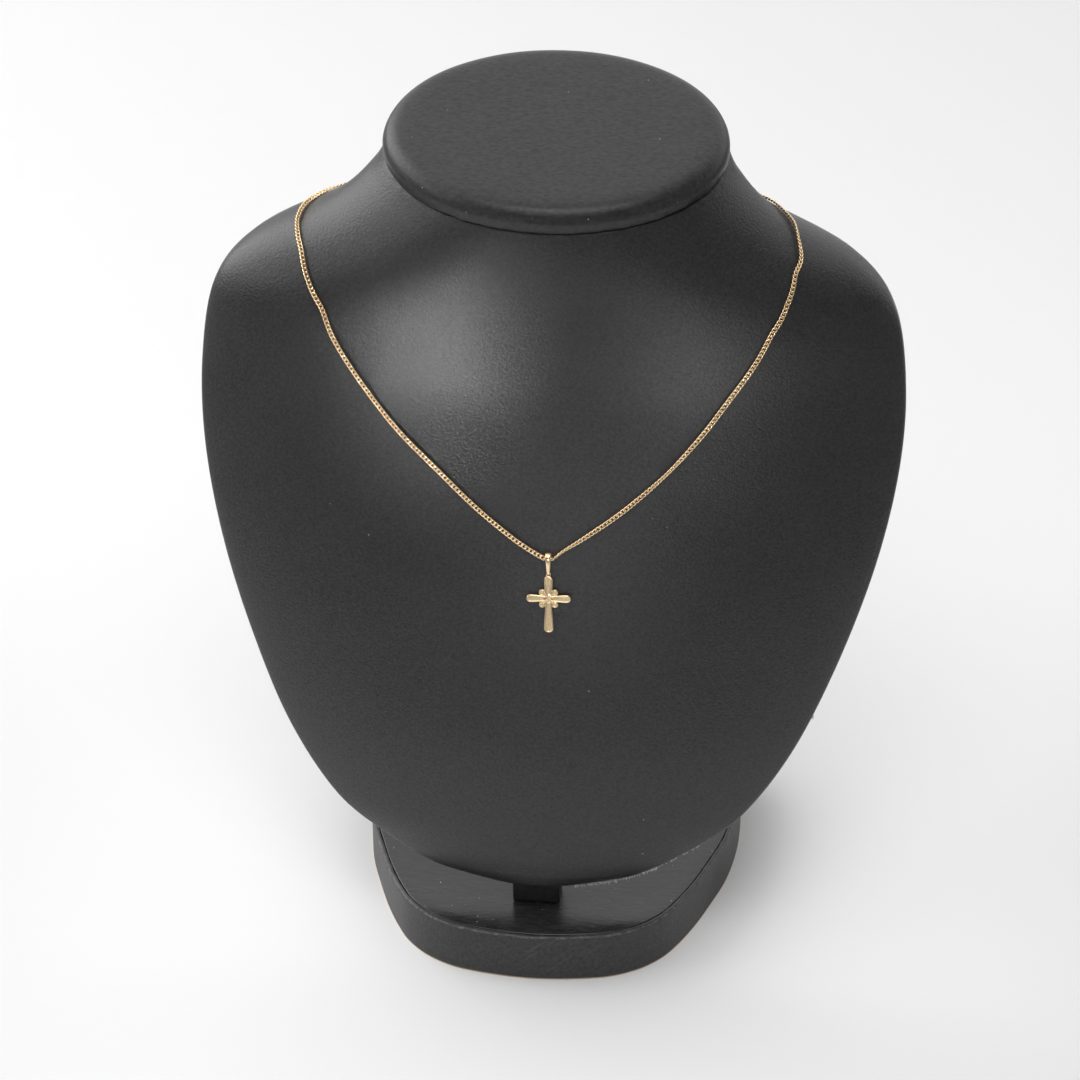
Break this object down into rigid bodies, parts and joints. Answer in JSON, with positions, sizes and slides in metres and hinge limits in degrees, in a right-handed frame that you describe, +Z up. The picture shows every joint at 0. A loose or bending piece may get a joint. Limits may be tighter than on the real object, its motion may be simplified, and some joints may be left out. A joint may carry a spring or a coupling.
{
  "type": "cross necklace on a neck bust",
  "caption": "Small gold-coloured cross pendant on a fine curb chain, lying round the neck of a padded black display bust that leans back on a low base.",
  "frame": {"origin": "middle of the bounding box of the whole thing, on the table that the base rests on", "axes": "+Z up; the chest faces -Y; +X to the right seen from the front"},
  "size_m": [0.1892, 0.1118, 0.2309],
  "materials": {
    "leatherette": "black, fine grain, matte with a soft sheen",
    "board_cloth": "black flocked cloth",
    "base_black": "black, satin, scuffed along its edges",
    "base_panel": "black, brushed satin",
    "post_black": "black, matte",
    "gold": "polished pale gold"
  },
  "bodies": {
    "root": {"chest_form": "leatherette", "neck_cap": "leatherette", "back_board": "board_cloth", "base_block": "base_black", "base_top": "base_panel", "post": "post_black", "chain": "gold", "clasp": "gold", "bail": "gold", "cross": "gold"}
  },
  "joints": []
}
